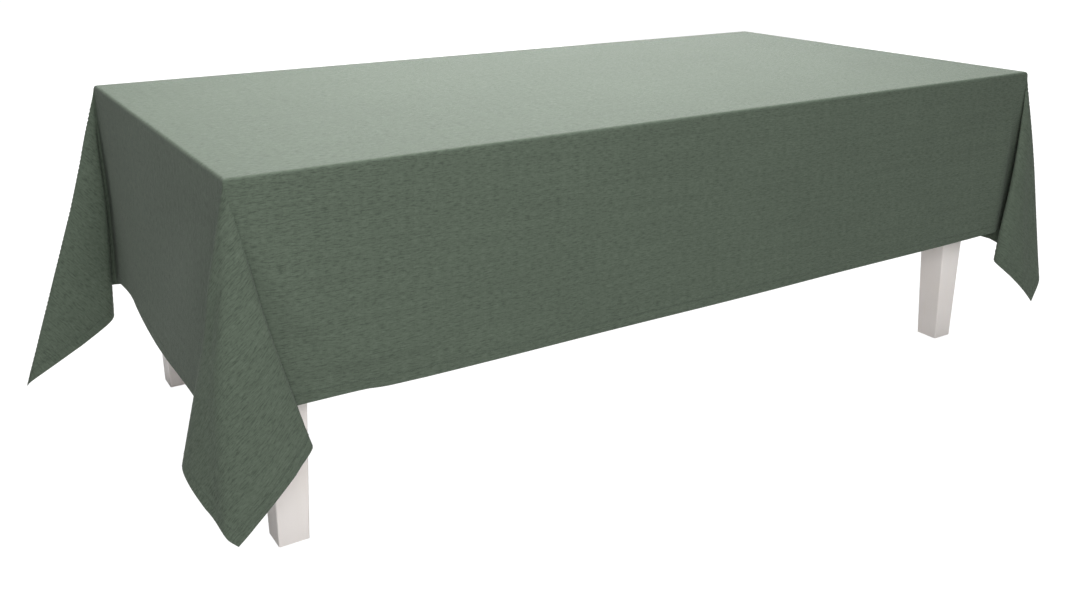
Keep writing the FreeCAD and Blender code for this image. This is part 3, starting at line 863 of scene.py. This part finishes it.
class StudioSettings(bpy.types.PropertyGroup):
    """Floor, lights and camera."""

    floor_size: FloatProperty(
        name="Floor size", description="Width of the pale floor", default=40.0, unit="LENGTH",
    )
    floor_colour: FloatVectorProperty(
        name="Floor colour", description="Colour of the pale floor",
        default=(0.65, 0.65, 0.65), min=0, max=1, size=3, subtype="COLOR",
    )
    surround: FloatProperty(
        name="Surround", description="Strength of the even light from all round", default=0.13,
    )
    overhead: FloatProperty(
        name="Overhead light", description="Power of the light above the table",
        default=150.0, subtype="POWER", unit="POWER",
    )
    front: FloatProperty(
        name="Front light", description="Power of the light before the table",
        default=88.0, subtype="POWER", unit="POWER",
    )
    backdrop: FloatProperty(
        name="Backdrop light", description="Power of the light behind the table",
        default=760.0, subtype="POWER", unit="POWER",
    )
    camera_place: FloatVectorProperty(
        name="Camera place", description="Where the camera stands",
        default=(-1.513, -2.225, 1.186), size=3, subtype="TRANSLATION", unit="LENGTH",
    )
    camera_heading: FloatProperty(
        name="Camera heading", description="How far the camera looks to the right of the Y axis",
        default=math.radians(32.16), subtype="ANGLE", unit="ROTATION",
    )
    camera_pitch: FloatProperty(
        name="Camera pitch", description="How far the camera looks down",
        default=math.radians(13.22), subtype="ANGLE", unit="ROTATION",
    )
    lens: FloatProperty(
        name="Lens", description="Focal length on a 36 mm sensor, in millimetres", default=36.07,
    )
    shift: FloatProperty(
        name="Lens shift", description="Upward shift of the lens", default=-0.13,
    )


# ---------------------------------------------------------------- what is made


class TABLECLOTH_OT_cloth(bpy.types.Operator):
    """Drape the cloth over the table and let it settle"""

    bl_idname = "tablecloth.cloth"
    bl_label = "Drape the Cloth"

    def execute(self, context):
        settings = context.scene.tablecloth
        DRAPES.clear()
        surface = drape(settings)
        low_u, high_u, low_v, high_v = cloth_size(settings)
        spacing = {"close": settings.spacing, "wide": 0.05, "turn": settings.edge_reach}
        us = grid_lines(low_u, high_u, HALF_X, inner=0.30, **spacing)
        vs = grid_lines(low_v, high_v, HALF_Y, inner=0.06, **spacing)
        cloth = grid_sheet("tablecloth", us, vs, surface(*np.meshgrid(us, vs)))
        thicken(cloth, settings.thickness)
        cloth.data.materials.clear()
        cloth.data.materials.append(cloth_material(settings))
        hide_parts(*CLOTH_NODES)
        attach(cloth, "cloth")
        return {"FINISHED"}


class TABLECLOTH_OT_hem(bpy.types.Operator):
    """Turn the border of the cloth under as a hem"""

    bl_idname = "tablecloth.hem"
    bl_label = "Turn the Hem"

    def execute(self, context):
        settings = context.scene.tablecloth
        surface = drape(settings)
        low_u, high_u, low_v, high_v = cloth_size(settings)
        width = settings.hem_width
        under = settings.thickness * 0.95
        rows = np.array([0.0006, 0.003, width / 2, width - 0.001, width])
        spacing = {"close": settings.spacing, "wide": 0.05, "turn": settings.edge_reach}
        pieces = []
        for across in (False, True):
            ends = (low_v, high_v) if across else (low_u, high_u)
            half = HALF_Y if across else HALF_X
            borders = ((low_u, 1), (high_u, -1)) if across else ((low_v, 1), (high_v, -1))
            for border, inward in borders:
                along = grid_lines(*ends, half, inner=0.2, **spacing)
                t, w = np.meshgrid(along, rows)
                # mitred where two sides meet
                centre = (ends[0] + ends[1]) / 2
                t = np.clip(t, ends[0] + w, ends[1] - w)
                t = np.where(np.abs(t - centre) < 1e-9, centre, t)
                edge = border + inward * w
                u, v = (edge, t) if across else (t, edge)
                places = surface(u, v) - outward(surface, u, v) * under
                name = f"hem_side_{len(pieces)}"
                pieces.append(grid_sheet(name, along, rows, places, (u, v)))
        pick(*pieces)
        bpy.ops.object.join()
        hem = pieces[0]
        hem.name = "hem"
        hem.data.name = "hem"
        bpy.ops.object.mode_set(mode="EDIT")
        bpy.ops.mesh.select_all(action="SELECT")
        bpy.ops.mesh.remove_doubles(threshold=0.0002)
        bpy.ops.mesh.normals_make_consistent(inside=False)
        bpy.ops.object.mode_set(mode="OBJECT")
        thicken(hem, settings.thickness * 0.8)
        hem.data.materials.clear()
        hem.data.materials.append(cloth_material(settings))
        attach(hem, "cloth")
        return {"FINISHED"}


class TABLECLOTH_OT_stitches(bpy.types.Operator):
    """Sew the hem with a row of stitches"""

    bl_idname = "tablecloth.stitches"
    bl_label = "Sew the Hem"

    def execute(self, context):
        settings = context.scene.tablecloth
        surface = drape(settings)
        low_u, high_u, low_v, high_v = cloth_size(settings)
        inset = settings.hem_width - SEWING_INSET
        pitch = settings.stitch_pitch
        radius = settings.thread_radius
        rows = []
        for border in (low_v + inset, high_v - inset):
            u = np.arange(low_u + inset, high_u - inset, pitch)
            rows.append((u, np.full_like(u, border), np.ones_like(u), np.zeros_like(u)))
        for border in (low_u + inset, high_u - inset):
            v = np.arange(low_v + inset + pitch / 2, high_v - inset, pitch)
            rows.append((np.full_like(v, border), v, np.zeros_like(v), np.ones_like(v)))
        u, v, du, dv = (np.concatenate(parts) for parts in zip(*rows))
        middle = surface(u, v)
        half = settings.stitch_length / 2
        along = surface(u + du * half, v + dv * half) - surface(u - du * half, v - dv * half)
        along /= np.maximum(np.linalg.norm(along, axis=1, keepdims=True), 1e-9)
        normal = outward(surface, u, v)
        normal -= (normal * along).sum(1, keepdims=True) * along
        normal /= np.maximum(np.linalg.norm(normal, axis=1, keepdims=True), 1e-9)
        beside = np.cross(normal, along)
        # one stitch: a short five-sided thread with narrowed ends, bowed into the cloth
        pick()
        bpy.ops.mesh.primitive_cylinder_add(
            vertices=5, radius=radius, depth=settings.stitch_length
        )
        stitch = context.object
        bpy.ops.object.mode_set(mode="EDIT")
        bpy.ops.mesh.select_mode(type="FACE")
        bpy.ops.mesh.select_all(action="DESELECT")
        bpy.ops.object.mode_set(mode="OBJECT")
        for face in stitch.data.polygons:
            face.select = abs(face.normal.z) > 0.9
        bpy.ops.object.mode_set(mode="EDIT")
        bpy.ops.mesh.inset(thickness=radius * 0.4, depth=radius * 0.5)
        bpy.ops.object.mode_set(mode="OBJECT")
        shape = np.array([vertex.co for vertex in stitch.data.vertices])
        faces = [list(face.vertices) for face in stitch.data.polygons]
        bpy.data.meshes.remove(stitch.data)
        lift = -0.25 * radius * (np.abs(shape[:, 2]) / half) ** 2
        outer = settings.thickness / 2 + radius * 0.45
        inner = settings.thickness * 1.35 + radius * 0.45
        vertices = []
        for face_of_cloth, away in ((1, outer), (-1, inner)):
            centre = middle + normal * face_of_cloth * away
            vertices.append(
                centre[:, None, :]
                + shape[None, :, 0:1] * beside[:, None, :] * face_of_cloth
                + (shape[None, :, 1:2] + lift[None, :, None]) * normal[:, None, :] * face_of_cloth
                + shape[None, :, 2:3] * along[:, None, :]
            )
        vertices = np.concatenate(vertices).reshape(-1, 3)
        count = len(vertices) // len(shape)
        all_faces = [
            [corner + number * len(shape) for corner in face]
            for number in range(count)
            for face in faces
        ]
        mesh = bpy.data.meshes.new("hem_stitches")
        mesh.from_pydata(vertices.tolist(), [], all_faces)
        stitches = bpy.data.objects.new("hem_stitches", mesh)
        context.scene.collection.objects.link(stitches)
        pick(stitches)
        bpy.ops.object.mode_set(mode="EDIT")
        bpy.ops.mesh.select_all(action="SELECT")
        bpy.ops.mesh.normals_make_consistent(inside=False)
        bpy.ops.object.mode_set(mode="OBJECT")
        bpy.ops.object.shade_smooth()
        mesh.materials.append(thread_material(settings))
        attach(stitches, "cloth")
        return {"FINISHED"}


class TABLECLOTH_OT_table(bpy.types.Operator):
    """Finish the table's own pieces in lacquer, zinc and nylon"""

    bl_idname = "tablecloth.table"
    bl_label = "Finish the Table"

    def execute(self, context):
        settings = context.scene.table_finish
        finishes = {
            "white_lacquer": lacquer_material(settings),
            "zinc_steel": steel_material(settings),
            "glide_plastic": nylon_material(settings),
        }
        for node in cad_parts.values():
            for slot in node.material_slots:
                if slot.material is not None and slot.material.name in finishes:
                    slot.material = finishes[slot.material.name]
        return {"FINISHED"}


class TABLECLOTH_OT_studio(bpy.types.Operator):
    """Set up the pale floor, soft lights and camera"""

    bl_idname = "tablecloth.studio"
    bl_label = "Set Up the Studio"

    def execute(self, context):
        settings = context.scene.studio
        scene = context.scene
        pick()
        bpy.ops.mesh.primitive_circle_add(
            vertices=96,
            radius=settings.floor_size / 2,
            fill_type="NGON",
            location=(0, 0, -FLOOR_GAP),
        )
        floor = context.object
        floor.name = "floor"
        bpy.ops.object.transform_apply(location=True)
        material, tree, shader = new_material("pale_floor")
        colour = tinted(settings.floor_colour)
        feed(tree, shader, Base_Color=colour, Roughness=0.9, Specular_IOR_Level=0.1)
        glow = tree.nodes.new("ShaderNodeEmission")
        feed(tree, glow, Color=(1, 1, 1, 1), Strength=FLOOR_GLOW)
        output = tree.nodes["Material Output"]
        self.show_apart(tree, shader, glow, FLOOR_GLOW_SHARE, output)
        floor.data.materials.append(material)
        self.set_world(scene, settings)
        for name, place, aim, size in LIGHTS:
            self.add_light(f"{name}_light", place, aim, size, getattr(settings, name))
        camera_data = bpy.data.cameras.new("camera")
        camera = bpy.data.objects.new("camera", camera_data)
        scene.collection.objects.link(camera)
        camera_data.sensor_width = 36
        camera_data.lens = settings.lens
        camera_data.shift_y = settings.shift
        camera.location = settings.camera_place
        tilt = math.pi / 2 - settings.camera_pitch
        camera.rotation_euler = (tilt, 0, -settings.camera_heading)
        scene.camera = camera
        scene.view_settings.view_transform = "Standard"
        return {"FINISHED"}

    def set_world(self, scene, settings):
        """White to the eye, and softer as a light."""
        world = bpy.data.worlds.new("white_surround")
        world.use_nodes = True
        tree = world.node_tree
        seen = feed(tree, tree.nodes["Background"], Color=(1, 1, 1, 1), Strength=1.0)
        light = tree.nodes.new("ShaderNodeBackground")
        feed(tree, light, Color=(1, 1, 1, 1), Strength=settings.surround)
        self.show_apart(tree, light, seen, 1.0, tree.nodes["World Output"])
        scene.world = world

    def show_apart(self, tree, lighting, seen, share, output):
        """Shows the camera one shader, by a share, and lights the scene with another."""
        blend = tree.nodes.new("ShaderNodeMixShader")
        path = tree.nodes.new("ShaderNodeLightPath")
        share = calc(tree, "MULTIPLY", path.outputs["Is Camera Ray"], share)
        tree.links.new(share, blend.inputs["Fac"])
        tree.links.new(lighting.outputs[0], blend.inputs[1])
        tree.links.new(seen.outputs[0], blend.inputs[2])
        tree.links.new(blend.outputs[0], output.inputs["Surface"])

    def add_light(self, name, place, aim, size, power):
        """A soft rectangular light that looks at a point."""
        data = bpy.data.lights.new(name, "AREA")
        data.shape = "RECTANGLE"
        data.size, data.size_y = size
        data.energy = power
        light = bpy.data.objects.new(name, data)
        light.location = place
        look = Vector(aim) - Vector(place)
        light.rotation_euler = look.to_track_quat("-Z", "Y").to_euler()
        light.visible_camera = False
        bpy.context.scene.collection.objects.link(light)


class TABLECLOTH_PT_panel(bpy.types.Panel):
    """The steps, in order, with their settings"""

    bl_idname = "TABLECLOTH_PT_panel"
    bl_label = "Tablecloth on a Table"
    bl_space_type = "VIEW_3D"
    bl_region_type = "UI"
    bl_category = "Tablecloth"

    def draw(self, context):
        layout = self.layout
        scene = context.scene
        steps = (
            (scene.tablecloth, TableclothSettings, ("cloth", "hem", "stitches")),
            (scene.table_finish, TableSettings, ("table",)),
            (scene.studio, StudioSettings, ("studio",)),
        )
        for settings, group, operators in steps:
            box = layout.box()
            for name in group.__annotations__:
                box.prop(settings, name)
            for name in operators:
                box.operator(f"tablecloth.{name}")


CLASSES = (
    TableclothSettings,
    TableSettings,
    StudioSettings,
    TABLECLOTH_OT_cloth,
    TABLECLOTH_OT_hem,
    TABLECLOTH_OT_stitches,
    TABLECLOTH_OT_table,
    TABLECLOTH_OT_studio,
    TABLECLOTH_PT_panel,
)


def register():
    for item in CLASSES:
        bpy.utils.register_class(item)
    bpy.types.Scene.tablecloth = PointerProperty(type=TableclothSettings)
    bpy.types.Scene.table_finish = PointerProperty(type=TableSettings)
    bpy.types.Scene.studio = PointerProperty(type=StudioSettings)


def unregister():
    del bpy.types.Scene.studio
    del bpy.types.Scene.table_finish
    del bpy.types.Scene.tablecloth
    for item in reversed(CLASSES):
        bpy.utils.unregister_class(item)


def main():
    register()
    bpy.ops.tablecloth.studio()
    bpy.ops.tablecloth.table()
    bpy.ops.tablecloth.cloth()
    bpy.ops.tablecloth.hem()
    bpy.ops.tablecloth.stitches()


if __name__ == "__main__":
    main()
